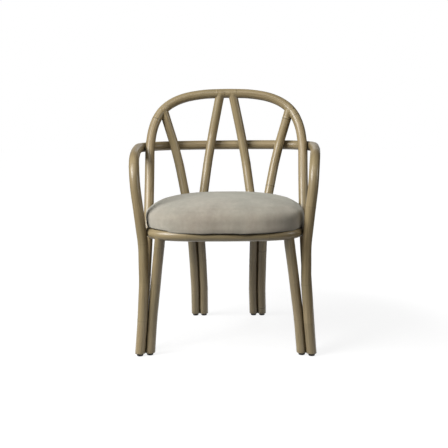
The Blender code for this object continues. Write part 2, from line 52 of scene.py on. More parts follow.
def feed(tree, socket, value):
    if isinstance(value, bpy.types.NodeSocket):
        tree.links.new(value, socket)
    else:
        socket.default_value = value


def addNode(tree, kind, place, inputs=(), **settings):
    node = tree.nodes.new(kind)
    node.location = place
    for name, value in settings.items():
        setattr(node, name, value)
    for label, value in dict(inputs).items():
        feed(tree, node.inputs[label], value)
    return node


def calc(tree, place, operation, *values):
    return addNode(tree, "ShaderNodeMath", place, enumerate(values), operation=operation).outputs[0]


def vectorCalc(tree, place, operation, first, second):
    inputs = {0: first, "Scale" if operation == "SCALE" else 1: second}
    return addNode(tree, "ShaderNodeVectorMath", place, inputs, operation=operation).outputs[0]


def joinXYZ(tree, place, *values):
    return addNode(tree, "ShaderNodeCombineXYZ", place, enumerate(values)).outputs[0]


def noise(tree, place, vector, scale, seed, detail, rough=0.5):
    inputs = {"Vector": vector, "W": seed, "Scale": scale, "Detail": detail, "Roughness": rough}
    return addNode(tree, "ShaderNodeTexNoise", place, inputs, noise_dimensions="4D").outputs["Fac"]


def lineNoise(tree, place, along):
    inputs = {"W": along, "Scale": 1.0, "Detail": 1.0}
    return addNode(tree, "ShaderNodeTexNoise", place, inputs, noise_dimensions="1D").outputs["Fac"]


def ramp(tree, place, value, low, high, toLow=0.0, toHigh=1.0):
    inputs = enumerate((value, low, high, toLow, toHigh))
    return addNode(tree, "ShaderNodeMapRange", place, inputs, interpolation_type="SMOOTHSTEP").outputs[0]


def mixColour(tree, place, factor, first, second, blend="MIX"):
    inputs = {0: factor, 6: first, 7: second}  # the colour sockets of a node that has one set for each type
    return addNode(tree, "ShaderNodeMix", place, inputs, data_type="RGBA", blend_type=blend).outputs[2]


def about(tree, place, value, spread):  # a factor round 1, for shading a colour lighter and darker
    return calc(tree, place, "MULTIPLY_ADD", value, spread, 1.0 - spread / 2)


def shadeBy(tree, place, colour, factor):
    x, y = place
    return mixColour(tree, place, 1.0, colour, joinXYZ(tree, (x - 180, y - 200), factor, factor, factor), "MULTIPLY")


def tint(tree, place, colour, over, mask, share):  # lays a second colour over the first, by a share of a mask
    x, y = place
    return mixColour(tree, place, calc(tree, (x - 180, y - 160), "MULTIPLY", mask, share), colour, over)


def newTree(name, kind, takes, gives):
    tree = bpy.data.node_groups.new(name, kind)
    for label, socketType, default in takes:
        socket = tree.interface.new_socket(label, in_out="INPUT", socket_type=socketType)
        if default is not None:
            socket.default_value = default
    for label, socketType in gives:
        tree.interface.new_socket(label, in_out="OUTPUT", socket_type=socketType)
    inside = addNode(tree, "NodeGroupInput", (-1200, 0)).outputs
    outside = addNode(tree, "NodeGroupOutput", (1200, 0)).inputs
    return tree, inside, outside


def finishTree(tree, place, shape, take, give):  # realized, with its material set
    x, y = place
    realize = addNode(tree, "GeometryNodeRealizeInstances", place, {"Geometry": shape})
    dress = addNode(tree, "GeometryNodeSetMaterial", (x + 180, y), {
        "Geometry": realize.outputs["Geometry"], "Material": take["Material"]})
    feed(tree, give["Geometry"], dress.outputs["Geometry"])


def useGroup(tree, place, group, **values):
    return addNode(tree, "ShaderNodeGroup", place, values, node_tree=group).outputs


def newMaterial(name, finish):
    material = bpy.data.materials.new(name)
    material.use_nodes = True
    tree = material.node_tree
    shader = tree.nodes["Principled BSDF"]
    for label, value in finish["sockets"].items():
        shader.inputs[label].default_value = value
    return material, tree, shader


def skinOver(tree, shader, colour, rough, height, finish):
    inputs = {"Strength": finish["bump"], "Distance": finish["bumpDepth"], "Height": height}
    normal = addNode(tree, "ShaderNodeBump", (-150, -340), inputs).outputs["Normal"]
    for label, value in (("Base Color", colour), ("Roughness", rough), ("Normal", normal)):
        tree.links.new(value, shader.inputs[label])
    return normal


def eased(share):
    return share * share * (3.0 - 2.0 * share)


# surface effects that several finishes share

number, vector = "NodeSocketFloat", "NodeSocketVector"
effectSizes = dict(
    streakDetail=(3.0, 0.6), streakBand=(0.28, 0.72), poreScale=2.7, poreDetail=1.0, poreBand=(0.56, 0.74),
    cloudDetail=3.0, cloudBand=(0.25, 0.75), gritDetail=1.0)

fibreGrain, take, give = newTree(
    "fibreGrain", "ShaderNodeTree",
    [("Coordinate", vector, None), ("Width", number, 0.001), ("Length", number, 0.05), ("Seed", number, 0.0)],
    [("Streak", number), ("Pore", number)])
across = calc(fibreGrain, (-1000, 100), "DIVIDE", 1.0, take["Width"])
lengthwise = calc(fibreGrain, (-1000, -60), "DIVIDE", 1.0, take["Length"])
stretch = joinXYZ(fibreGrain, (-820, 40), across, across, lengthwise)
drawn = vectorCalc(fibreGrain, (-640, 60), "MULTIPLY", take["Coordinate"], stretch)
streak = noise(fibreGrain, (-440, 160), drawn, 1.0, take["Seed"], *effectSizes["streakDetail"])
pore = noise(fibreGrain, (-440, -120), drawn, effectSizes["poreScale"], take["Seed"], effectSizes["poreDetail"])
feed(fibreGrain, give["Streak"], ramp(fibreGrain, (-200, 160), streak, *effectSizes["streakBand"]))
feed(fibreGrain, give["Pore"], ramp(fibreGrain, (-200, -120), pore, *effectSizes["poreBand"]))

toneClouds, take, give = newTree(
    "toneClouds", "ShaderNodeTree",
    [("Coordinate", vector, None), ("Size", number, 0.1), ("Seed", number, 0.0)],
    [("Tone", number)])
cloudScale = calc(toneClouds, (-1000, 0), "DIVIDE", 1.0, take["Size"])
cloud = noise(toneClouds, (-780, 0), take["Coordinate"], cloudScale, take["Seed"], effectSizes["cloudDetail"])
feed(toneClouds, give["Tone"], ramp(toneClouds, (-560, 0), cloud, *effectSizes["cloudBand"]))

fineGrit, take, give = newTree(
    "fineGrit", "ShaderNodeTree",
    [("Coordinate", vector, None), ("Size", number, 0.0006), ("Seed", number, 0.0)],
    [("Grit", number)])
gritScale = calc(fineGrit, (-1000, 0), "DIVIDE", 1.0, take["Size"])
grit = noise(fineGrit, (-780, 0), take["Coordinate"], gritScale, take["Seed"], effectSizes["gritDetail"])
feed(fineGrit, give["Grit"], grit)

caneNodes, take, give = newTree(
    "caneNodes", "ShaderNodeTree",
    [("Distance", number, 1.0), ("Line Width", number, 0.001), ("Collar Width", number, 0.008)],
    [("Line", number), ("Collar", number)])
for step, label in enumerate(("Line", "Collar")):
    faded = ramp(caneNodes, (-700, 100 - 300 * step), take["Distance"], 0.0, take[label + " Width"], 1.0, 0.0)
    feed(caneNodes, give[label], faded)
print("shared surface effects:", len(bpy.data.node_groups))


# cane finish, for the frame poles and for the paler spindles

caneFinish = dict(
    pale=(0.45, 0.347, 0.197, 1.0), deep=(0.29, 0.213, 0.11, 1.0),
    olive=(0.325, 0.27, 0.149, 1.0), scar=(0.1, 0.07, 0.038, 1.0), collar=(0.45, 0.37, 0.22, 1.0),
    fibreWidth=0.0011, fibreLength=0.07, stripeWidth=0.0042, stripeLength=0.2, stripeSpread=0.34, stripeSeed=3.0,
    cloudSize=0.16, cloudShare=0.55, cloudSeed=5.0, scarWidth=0.0026, collarWidth=0.011, collarShare=0.3,
    toneSpread=0.16, roughness=0.36, roughSpread=0.1, cloudRough=0.06,
    bump=0.08, bumpDepth=0.0004, poreDepth=-0.5, scarDepth=-1.6,
    # crease values: painted shade where poles meet, taken from ambient occlusion
    creaseReach=0.03, creaseOpen=(0.1, 0.85), creaseShade=0.3, creaseSamples=6, seed=2.0,
    sockets={"Coat Weight": 0.5, "Coat Roughness": 0.22, "Coat IOR": 1.45, "Specular IOR Level": 0.35})


def caneMaterial(name, finish):
    material, tree, shader = newMaterial(name, finish)
    fibre = addNode(tree, "ShaderNodeAttribute", (-1500, 200), attribute_name="fibre").outputs["Vector"]
    nodeGap, tone, nodeMark = (
        addNode(tree, "ShaderNodeAttribute", (-1500, -100 - 200 * step), attribute_name=label).outputs["Fac"]
        for step, label in enumerate(("nodeGap", "tone", "nodeMark")))
    grain = useGroup(tree, (-1200, 260), fibreGrain, Coordinate=fibre, Width=finish["fibreWidth"],
                     Length=finish["fibreLength"], Seed=finish["seed"])
    cloud = useGroup(tree, (-1200, 40), toneClouds, Coordinate=fibre, Size=finish["cloudSize"],
                     Seed=finish["seed"] + finish["cloudSeed"])
    mark = useGroup(tree, (-1200, -160), caneNodes, **{
        "Distance": nodeGap, "Line Width": finish["scarWidth"], "Collar Width": finish["collarWidth"]})
    skin = mixColour(tree, (-900, 300), grain["Streak"], finish["deep"], finish["pale"])
    skin = tint(tree, (-700, 260), skin, finish["olive"], cloud["Tone"], finish["cloudShare"])
    stripe = useGroup(tree, (-1200, 500), fibreGrain, Coordinate=fibre, Width=finish["stripeWidth"],
                      Length=finish["stripeLength"], Seed=finish["seed"] + finish["stripeSeed"])["Streak"]
    lift = about(tree, (-900, -280), tone, finish["toneSpread"])
    lift = calc(tree, (-800, -280), "MULTIPLY", lift, about(tree, (-1000, 500), stripe, finish["stripeSpread"]))
    skin = shadeBy(tree, (-500, 220), skin, lift)
    collarShare = calc(tree, (-1100, -480), "MULTIPLY", nodeMark, finish["collarShare"])
    skin = tint(tree, (-400, 220), skin, finish["collar"], mark["Collar"], collarShare)
    skin = tint(tree, (-300, 180), skin, finish["scar"], mark["Line"], nodeMark)
    # painted shade: ambient occlusion darkens the cane's colour in the creases between poles
    crease = addNode(tree, "ShaderNodeAmbientOcclusion", (-500, 420), {"Distance": finish["creaseReach"]},
                     samples=finish["creaseSamples"]).outputs["AO"]
    paintedCreaseShade = ramp(tree, (-300, 420), crease, *finish["creaseOpen"], finish["creaseShade"])
    skin = shadeBy(tree, (-100, 220), skin, paintedCreaseShade)  # painted shade, darker where poles meet, from ambient occlusion
    rough = calc(tree, (-500, -60), "MULTIPLY_ADD", grain["Pore"], finish["roughSpread"], finish["roughness"])
    rough = calc(tree, (-300, -60), "MULTIPLY_ADD", cloud["Tone"], finish["cloudRough"], rough)
    height = calc(tree, (-500, -420), "MULTIPLY_ADD", grain["Pore"], finish["poreDepth"], grain["Streak"])
    height = calc(tree, (-300, -420), "MULTIPLY_ADD", mark["Line"], finish["scarDepth"], height)
    skinOver(tree, shader, skin, rough, height, finish)
    return material


caneFrame = caneMaterial("caneFrame", caneFinish)
caneSpindle = caneMaterial("caneSpindle", {
    **caneFinish, "pale": (0.45, 0.353, 0.2, 1.0), "deep": (0.3, 0.223, 0.115, 1.0), "seed": 9.0})
print("cane finishes made")


# the tree that turns a centre line into a cane pole, with its joints, drift and straightened grain

grainSizes = dict(seedShift=7.31, lengthShift=3.7, creaseAngle=0.9)
poleTree, take, give = newTree(
    "canePole", "GeometryNodeTree",
    [("Geometry", "NodeSocketGeometry", None), ("Pole Radius", number, 0.015), ("Sample Length", number, 0.004),
     ("Sides", "NodeSocketInt", 28), ("Node Gap", number, 0.22), ("Node Swell", number, 0.0004),
     ("Node Width", number, 0.006), ("Node Shift", number, 0.0), ("Node Mark", number, 0.25),
     ("Drift", number, 0.01), ("Drift Length", number, 0.1),
     ("Seed", number, 0.0), ("Material", "NodeSocketMaterial", None)],
    [("Geometry", "NodeSocketGeometry")])
toCurve = addNode(poleTree, "GeometryNodeMeshToCurve", (-1000, 300), {"Mesh": take["Geometry"]})
resample = addNode(poleTree, "GeometryNodeResampleCurve", (-820, 300), {
    "Curve": toCurve.outputs["Curve"], "Length": take["Sample Length"]}, mode="LENGTH")
along = addNode(poleTree, "GeometryNodeSplineParameter", (-1000, 80)).outputs["Length"]
shift = calc(poleTree, (-1000, -160), "MULTIPLY", take["Seed"], grainSizes["seedShift"])
paced = calc(poleTree, (-640, -120), "DIVIDE", along, take["Node Gap"])
paced = calc(poleTree, (-460, -60), "ADD", paced, take["Node Shift"])
share = calc(poleTree, (-280, -60), "FRACT", paced)
offNode = calc(poleTree, (-100, -60), "ABSOLUTE", calc(poleTree, (-100, -200), "SUBTRACT", share, 0.5))
offNode = calc(poleTree, (80, -60), "MULTIPLY", offNode, take["Node Gap"])
cell = addNode(poleTree, "ShaderNodeTexWhiteNoise", (-100, -380), {
    "W": calc(poleTree, (-280, -380), "FLOOR", paced)}, noise_dimensions="1D")
spread = calc(poleTree, (260, -60), "POWER", calc(poleTree, (260, -220), "DIVIDE", offNode, take["Node Width"]), 2.0)
swell = calc(poleTree, (440, -60), "EXPONENT", calc(poleTree, (440, -220), "MULTIPLY", spread, -1.0))
swell = calc(poleTree, (620, -60), "MULTIPLY", swell, take["Node Swell"])
driftAt = calc(poleTree, (-460, -560), "DIVIDE", along, take["Drift Length"])
drift = lineNoise(poleTree, (-280, -560), calc(poleTree, (-460, -720), "ADD", driftAt, shift))
drift = calc(poleTree, (-100, -560), "MULTIPLY", calc(poleTree, (-100, -720), "SUBTRACT", drift, 0.5), take["Drift"])
body = calc(poleTree, (80, -560), "MULTIPLY_ADD", drift, take["Pole Radius"], take["Pole Radius"])
thick = calc(poleTree, (620, -400), "ADD", body, swell)
cellTone = calc(poleTree, (80, -380), "FRACT", calc(poleTree, (80, -240), "ADD", cell.outputs["Value"], shift))
lineHold = addNode(poleTree, "GeometryNodeCaptureAttribute", (-600, 480), {"Geometry": resample.outputs["Curve"]})
for label, value in (("along", along), ("offNode", offNode), ("tone", cellTone)):
    lineHold.capture_items.new("FLOAT", label)
    feed(poleTree, lineHold.inputs[label], value)
circle = addNode(poleTree, "GeometryNodeCurvePrimitiveCircle", (-820, 760), {
    "Resolution": take["Sides"], "Radius": 1.0})
roundHold = addNode(poleTree, "GeometryNodeCaptureAttribute", (-600, 760), {"Geometry": circle.outputs["Curve"]})
roundHold.capture_items.new("VECTOR", "round")
feed(poleTree, roundHold.inputs["round"], addNode(poleTree, "GeometryNodeInputPosition", (-820, 620)).outputs[0])
tube = addNode(poleTree, "GeometryNodeCurveToMesh", (-100, 480), {
    "Curve": lineHold.outputs["Geometry"], "Profile Curve": roundHold.outputs["Geometry"], "Scale": thick,
    "Fill Caps": True})
girth = vectorCalc(poleTree, (80, 760), "SCALE", roundHold.outputs["round"], take["Pole Radius"])
lengthAt = calc(
    poleTree, (80, 620), "MULTIPLY_ADD", take["Seed"], grainSizes["lengthShift"], lineHold.outputs["along"])
straight = vectorCalc(poleTree, (260, 700), "ADD", girth, joinXYZ(poleTree, (260, 580), 0.0, 0.0, lengthAt))
shape = tube.outputs["Mesh"]
stored = {"fibre": straight, "nodeGap": lineHold.outputs["offNode"], "tone": lineHold.outputs["tone"],
          "nodeMark": take["Node Mark"]}
for step, (label, value) in enumerate(stored.items()):
    kind = "FLOAT_VECTOR" if label == "fibre" else "FLOAT"
    shape = addNode(poleTree, "GeometryNodeStoreNamedAttribute", (300 + 160 * step, 480), {
        "Geometry": shape, "Name": label, "Value": value}, data_type=kind, domain="POINT").outputs["Geometry"]
edgeAngle = addNode(poleTree, "GeometryNodeInputMeshEdgeAngle", (760, 240)).outputs["Unsigned Angle"]
creased = calc(poleTree, (920, 240), "GREATER_THAN", edgeAngle, grainSizes["creaseAngle"])
smooth = addNode(poleTree, "GeometryNodeSetShadeSmooth", (920, 480), {"Geometry": shape}, domain="FACE")
crease = addNode(poleTree, "GeometryNodeSetShadeSmooth", (1080, 480), {
    "Geometry": smooth.outputs["Geometry"], "Selection": creased, "Shade Smooth": False}, domain="EDGE")
finishTree(poleTree, (1240, 480), crease.outputs["Geometry"], take, give)


def runTree(host, tree, values):
    modifier = host.modifiers.new(tree.name, "NODES")
    modifier.node_group = tree
    keys = {item.name: item.identifier for item in tree.interface.items_tree if item.in_out == "INPUT"}
    for label, value in values.items():
        modifier[keys[label]] = value
    return bakeShape(host)


def bakeShape(host):
    scope = bpy.context.evaluated_depsgraph_get()
    mesh = bpy.data.meshes.new_from_object(
        host.evaluated_get(scope), preserve_all_data_layers=True, depsgraph=scope)
    mesh.name = host.name
    host.modifiers.clear()
    host.data = mesh
    return host


def newObject(name, mesh):
    piece = bpy.data.objects.new(name, mesh)
    scene.collection.objects.link(piece)
    return piece


def pathObject(name, points):
    mesh = bpy.data.meshes.new(name)
    mesh.from_pydata([tuple(p) for p in points], [(i, i + 1) for i in range(len(points) - 1)], [])
    return newObject(name, mesh)


# centre lines, read from the solids by slicing each pole step by step

lineSizes = dict(
    step=0.008, reach=0.028, hollow=0.85, hollowRank=80, girthRank=90, openGap=80.0, smoothing=12.0, finest=0.0005,
    weld=1e-5, aslant=(0.31, 0.17, 0.93), fits=2, leastSpots=8, mostSteps=900, closeAfter=20, closeWithin=0.8,
    footSlice=0.001)


def weldedMesh(node):
    soup = bmesh.new()
    soup.from_mesh(cadNodes[node].data)
    bmesh.ops.remove_doubles(soup, verts=soup.verts, dist=lineSizes["weld"])
    return soup


def edgeEnds(node):
    soup = weldedMesh(node)
    ends = np.array([[v.co[:] for v in edge.verts] for edge in soup.edges])
    soup.free()
    return ends


def planeSpots(ends, point, heading):
    first = (ends[:, 0] - point) @ heading
    last = (ends[:, 1] - point) @ heading
    cut = first * last < 0
    part = first[cut] / (first[cut] - last[cut])
    return ends[cut, 0] + (ends[cut, 1] - ends[cut, 0]) * part[:, None]


def sliceCircle(ends, point, heading):
    spots = planeSpots(ends, point, heading)
    spots = spots[np.linalg.norm(spots - point, axis=1) < lineSizes["reach"]]
    side = np.cross(heading, lineSizes["aslant"])  # an odd way, so that no pole lies along it
    side /= np.linalg.norm(side)
    flat = np.stack([(spots - point) @ side, (spots - point) @ np.cross(heading, side)], 1)
    for tryOut in range(lineSizes["fits"]):
        if len(flat) < lineSizes["leastSpots"]:
            return None
        lined = np.column_stack([2 * flat, np.ones(len(flat))])
        fit = np.linalg.lstsq(lined, (flat ** 2).sum(1), rcond=None)[0]
        away = np.linalg.norm(flat - fit[:2], axis=1)
        flat = flat[away > lineSizes["hollow"] * np.percentile(away, lineSizes["hollowRank"])]
    turns = np.sort(np.degrees(np.arctan2(flat[:, 1] - fit[1], flat[:, 0] - fit[0])))
    if np.max(np.diff(np.append(turns, turns[0] + 360))) > lineSizes["openGap"]:
        return None  # the pole's wall is open here, so its end is near
    centre = point + side * fit[0] + np.cross(heading, side) * fit[1]
    return centre, np.percentile(np.linalg.norm(flat - fit[:2], axis=1), lineSizes["girthRank"])


def centreLine(node, start, heading, closed=False):
    ends = edgeEnds(node)
    line, radii = [np.array(start, float)], []
    heading = np.array(heading, float)
    step = lineSizes["step"]
    while step > lineSizes["finest"] and len(line) < lineSizes["mostSteps"]:
        found = sliceCircle(ends, line[-1] + heading * step, heading)
        if found is None:
            step /= 2
            continue
        toStart = np.linalg.norm(found[0] - line[0])
        if closed and len(line) > lineSizes["closeAfter"] and toStart < lineSizes["closeWithin"] * step:
            break
        heading = found[0] - line[-1]
        heading /= np.linalg.norm(heading)
        line.append(found[0])
        radii.append(found[1])
    return smoothLine(np.array(line), closed), float(np.median(radii))


def smoothLine(points, closed):
    count = len(points)
    third = np.zeros((count if closed else count - 3, count))
    for row in range(len(third)):
        third[row, [(row + k) % count for k in range(4)]] = (-1, 3, -3, 1)
    calmed = np.linalg.solve(np.eye(count) + lineSizes["smoothing"] * third.T @ third, points)
    return np.vstack([calmed, calmed[:1]]) if closed else calmed


def footOf(node, side):
    spots = edgeEnds(node).reshape(-1, 3)
    spots = spots[spots[:, 0] * side > 0] if side else spots
    low = spots[spots[:, 2] < spots[:, 2].min() + lineSizes["footSlice"]]
    return (low.min(0) + low.max(0)) / 2


# the cane poles

poleSizes = dict(
    sampleLength=0.002, sides=28, nodeGap=0.235, nodeSwell=0.0003, nodeWidth=0.005, nodeMark=0.2,
    drift=0.016, driftLength=0.09, plump=0.0004, footOn=0.012, footTrim=0.003, nestle=(0.004, 0.009),
    rootSeek=0.06, rootEase=0.12, rootOver=0.0115, rootBefore=0.02, rootNear=0.04, rootBeside=4, rootFace=0.001,
    rootProud=0.0006, rootSink=-0.0006, frameSeed=1.0, branchSeed=4.0, barSeed=11.0)
poleMarks = {  # the height at which the photo shows a cane joint, and how plainly
    "back_hoop": (0.7, 0.75), "spindle_outer_right": (0.7, 0.8)}


def meshPoints(mesh):
    spots = np.zeros(len(mesh.vertices) * 3, np.float32)
    mesh.vertices.foreach_get("co", spots)
    return spots.reshape(-1, 3).astype(float)


def setPoints(mesh, spots):
    mesh.vertices.foreach_set("co", spots.astype(np.float32).ravel())
    mesh.update()


def lengthsAlong(line):
    return np.append(0.0, np.cumsum(np.linalg.norm(np.diff(line, axis=0), axis=1)))


def denseLine(line):
    along = lengthsAlong(line)
    even = np.arange(0.0, along[-1], lineSizes["finest"])
    return np.stack([np.interp(even, along, line[:, axis]) for axis in range(3)], 1)


def nodeSetting(node, line):
    if node not in poleMarks:
        return poleSizes["nodeGap"], 0.0, poleSizes["nodeMark"]
    height, mark = poleMarks[node]
    along = lengthsAlong(line)
    crossed = np.flatnonzero(np.diff(np.sign(line[:, 2] - height)))
    gap = along[crossed[-1]] - along[crossed[0]] if len(crossed) > 1 else poleSizes["nodeGap"]
    return gap, 0.5 - along[crossed[0]] / gap, mark


def canePole(node, line, radius, material, slot, seed):
    nodeGap, nodeShift, nodeMark = nodeSetting(node, line)
    pole = runTree(pathObject(node + "_cane", line), poleTree, {
        "Pole Radius": radius + poleSizes["plump"], "Sample Length": poleSizes["sampleLength"],
        "Sides": poleSizes["sides"], "Node Gap": nodeGap, "Node Swell": poleSizes["nodeSwell"],
        "Node Width": poleSizes["nodeWidth"], "Node Shift": nodeShift, "Node Mark": nodeMark,
        "Drift": poleSizes["drift"], "Drift Length": poleSizes["driftLength"], "Seed": seed, "Material": material})
    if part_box(node)[0].z < poleSizes["footOn"]:
        trimFoot(pole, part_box(node)[0].z + poleSizes["footTrim"])
    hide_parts(node)
    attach(pole, "frame")
    return pole


def trimFoot(pole, level):  # a foot is sawn level, however the pole leans
    soup = bmesh.new()
    soup.from_mesh(pole.data)
    if min(v.co.z for v in soup.verts) < level:
        cut = bmesh.ops.bisect_plane(
            soup, geom=soup.verts[:] + soup.edges[:] + soup.faces[:], plane_co=(0, 0, level), plane_no=(0, 0, -1),
            clear_outer=True)["geom_cut"]
        sawn = bmesh.ops.holes_fill(soup, edges=[e for e in cut if isinstance(e, bmesh.types.BMEdge)])["faces"]
        bmesh.ops.recalc_face_normals(soup, faces=soup.faces)
        for face in sawn:
            face.smooth = False
        soup.to_mesh(pole.data)
    soup.free()


def footOn(line):
    onward = line[0] - line[3]
    return np.vstack([line[0] + onward / np.linalg.norm(onward) * poleSizes["footOn"], line])


def rooted(line, holder, flush):  # runs a coped end on to the middle of the pole that holds it
    onward = line[-2] - line[-8]  # clear of the coped end itself
    onward /= np.linalg.norm(onward)
    reach = np.arange(0.0, poleSizes["rootSeek"], lineSizes["finest"])
    tries = line[-1] + reach[:, None] * onward
    core = denseLine(holder)
    away = np.array([np.linalg.norm(core - spot, axis=1).min() for spot in tries])
    root = tries[np.argmin(away)]
    near = np.argmin(np.linalg.norm(core - root, axis=1))
    beside = poleSizes["rootBeside"]
    front = np.cross(core[min(near + beside, len(core) - 1)] - core[near - beside], onward)
    front *= -np.sign(front[1]) / np.linalg.norm(front)
    grown = np.vstack([line, root, root + onward * poleSizes["rootOver"]])
    share = np.clip(1.0 - np.linalg.norm(grown - root, axis=1) / poleSizes["rootEase"], 0.0, 1.0)
    share[-1] = 1.0
    move = front * (flush - (root - core[near]) @ front)
    grown = grown + eased(share)[:, None] * move
    return grown, root + move, onward, front


def scribe(pole, root, onward, front, holder, girth, proud):  # lays a root's front over the pole that holds it
    core = denseLine(holder)
    core = core[np.linalg.norm(core - root, axis=1) < poleSizes["rootSeek"]]
    spots = meshPoints(pole.data)
    past = (spots - root) @ onward
    ahead = (spots - root) @ front > poleSizes["rootFace"]
    before, over = poleSizes["rootBefore"], poleSizes["rootOver"]
    near = np.linalg.norm(spots - root, axis=1) < poleSizes["rootNear"]
    for index in np.flatnonzero((past > -before) & near):
        middle = core[np.argmin(np.linalg.norm(core - spots[index], axis=1))]
        off = spots[index] - middle
        away = np.linalg.norm(off)
        share = min(max(past[index] / over, 0.0), 1.0)
        laid = girth + poleSizes["plump"] + proud + (poleSizes["rootSink"] - proud) * share ** 2
        if past[index] > 0.0:
            away = laid if ahead[index] else min(away, laid)
        elif ahead[index] and away < laid:
            away += (laid - away) * eased(1.0 + past[index] / before)
        spots[index] = middle + off / np.linalg.norm(off) * away
    setPoints(pole.data, spots)


def nestled(line, girth, partner, partnerGirth):  # closes the sliver between two poles that are bound side by side
    near, far = poleSizes["nestle"]
    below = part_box("seat_ring")[0].z
    core = denseLine(partner)
    moved = line.copy()
    for index, spot in enumerate(line):
        middle = core[np.argmin(np.linalg.norm(core - spot, axis=1))]
        away = np.linalg.norm(middle - spot)
        gap = away - girth - partnerGirth
        if 0 < gap < far and spot[2] < below:
            share = min(max((far - gap) / (far - near), 0.0), 1.0)
            moved[index] = spot + (middle - spot) / away * gap / 2 * eased(share)  # each pole goes half the way
    return moved


up = (0.0, 0.0, 1.0)
caneLines, girths = {}, {}
low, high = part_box("seat_ring")
ringStart = ((low.x + high.x) / 2, high.y - (high.z - low.z) / 2, (low.z + high.z) / 2)  # its ends butt at the back
sideways = (1.0, 0.0, 0.0)
caneLines["seat_ring"], girths["seat_ring"] = centreLine("seat_ring", ringStart, sideways, closed=True)
for node in ("arm_rail", "back_hoop"):
    line, girths[node] = centreLine(node, footOf(node, -1), up)
    caneLines[node] = footOn(footOn(line)[::-1])[::-1]
for node in ("spindle_inner_left", "spindle_inner_right", "spindle_outer_left", "spindle_outer_right",
             "front_prop_left", "front_prop_right"):
    line, girths[node] = centreLine(node, footOf(node, 0), up)
    caneLines[node] = footOn(line)
for side in ("left", "right"):
    inner, outer = "spindle_inner_" + side, "spindle_outer_" + side
    apart = caneLines[inner], caneLines[outer]
    caneLines[inner] = nestled(apart[0], girths[inner], apart[1], girths[outer])
    caneLines[outer] = nestled(apart[1], girths[outer], apart[0], girths[inner])
for seed, node in enumerate(("arm_rail", "back_hoop", "seat_ring")):
    canePole(node, caneLines[node], girths[node], caneFrame, "cane", poleSizes["frameSeed"] + seed)
for seed, node in enumerate(node for node in caneLines if node.startswith(("spindle_", "front_prop_"))):
    isSpindle = node.startswith("spindle_")
    holder = "back_hoop" if isSpindle else "seat_ring"
    proud = poleSizes["rootProud" if isSpindle else "rootSink"]
    flush = girths[holder] - girths[node] + proud
    caneLines[node], root, onward, front = rooted(caneLines[node], caneLines[holder], flush)
    finish = (caneSpindle, "cane_spindles") if isSpindle else (caneFrame, "cane")
    pole = canePole(node, caneLines[node], girths[node], *finish, poleSizes["branchSeed"] + seed)
    scribe(pole, root, onward, front, caneLines[holder], girths[holder], proud)
for seed, node in enumerate(("seat_bar_front", "seat_bar_rear")):
    low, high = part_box(node)
    middle = (low + high) / 2
    caneLines[node], girths[node] = centreLine(node, (low.x, middle.y, middle.z), sideways)
    canePole(node, caneLines[node], girths[node], caneFrame, "cane", poleSizes["barSeed"] + seed)
print("cane poles:", {node: len(line) for node, line in caneLines.items()})


# screws and foot glides, set out by one tree on points that carry their aim and size

fittingTree, take, give = newTree(
    "fittings", "GeometryNodeTree",
    [("Geometry", "NodeSocketGeometry", None), ("Shape", "NodeSocketObject", None), ("Spin", number, 0.0),
     ("Seed", "NodeSocketInt", 1), ("Material", "NodeSocketMaterial", None)],
    [("Geometry", "NodeSocketGeometry")])
shapeInfo = addNode(fittingTree, "GeometryNodeObjectInfo", (-800, -100), {"Object": take["Shape"]})
aim, size = (
    addNode(fittingTree, "GeometryNodeInputNamedAttribute", (-800, 300 - 180 * step), {"Name": label},
            data_type="FLOAT_VECTOR").outputs["Attribute"] for step, label in enumerate(("aim", "size")))
spinBy = addNode(fittingTree, "FunctionNodeRandomValue", (-800, 520), {
    "Max": take["Spin"], "Seed": take["Seed"]}, data_type="FLOAT")
turned = addNode(fittingTree, "FunctionNodeAxisAngleToRotation", (-600, 520), {
    "Axis": up, "Angle": spinBy.outputs["Value"]})
pointed = addNode(fittingTree, "FunctionNodeAlignRotationToVector", (-600, 300), {"Vector": aim}, axis="Z")
rotated = addNode(fittingTree, "FunctionNodeRotateRotation", (-400, 400), {
    "Rotation": pointed.outputs["Rotation"], "Rotate By": turned.outputs["Rotation"]}, rotation_space="LOCAL")
setOut = addNode(fittingTree, "GeometryNodeInstanceOnPoints", (-200, 100), {
    "Points": take["Geometry"], "Instance": shapeInfo.outputs["Geometry"], "Rotation": rotated.outputs["Rotation"],
    "Scale": size})
finishTree(fittingTree, (0, 100), setOut.outputs["Instances"], take, give)


def pointsObject(name, places, aims, sizes):
    mesh = bpy.data.meshes.new(name)
    mesh.from_pydata([tuple(p) for p in places], [], [])
    for label, values in (("aim", aims), ("size", sizes)):
        layer = mesh.attributes.new(label, "FLOAT_VECTOR", "POINT")
        layer.data.foreach_set("vector", np.array(values, np.float32).ravel())
    return newObject(name, mesh)


def turnedShape(name, profile, sides, press=None):
    soup = bmesh.new()
    rings = []
    for radius, height in profile:
        ring = []
        for k in range(sides if radius > 0 else 1):
            angle = 2 * math.pi * k / sides
            x, y = radius * math.cos(angle), radius * math.sin(angle)
            ring.append(soup.verts.new((x, y, height - (press(x, y) if press else 0.0))))
        rings.append(ring)
    for lower, upper in zip(rings, rings[1:]):
        for k in range(sides):
            corners = [lower[k % len(lower)], lower[(k + 1) % len(lower)],
                       upper[(k + 1) % len(upper)], upper[k % len(upper)]]
            soup.faces.new(list(dict.fromkeys(corners)))
    bmesh.ops.recalc_face_normals(soup, faces=soup.faces)
    for face in soup.faces:
        face.smooth = True
    mesh = bpy.data.meshes.new(name)
    soup.to_mesh(mesh)
    soup.free()
    return newObject(name, mesh)


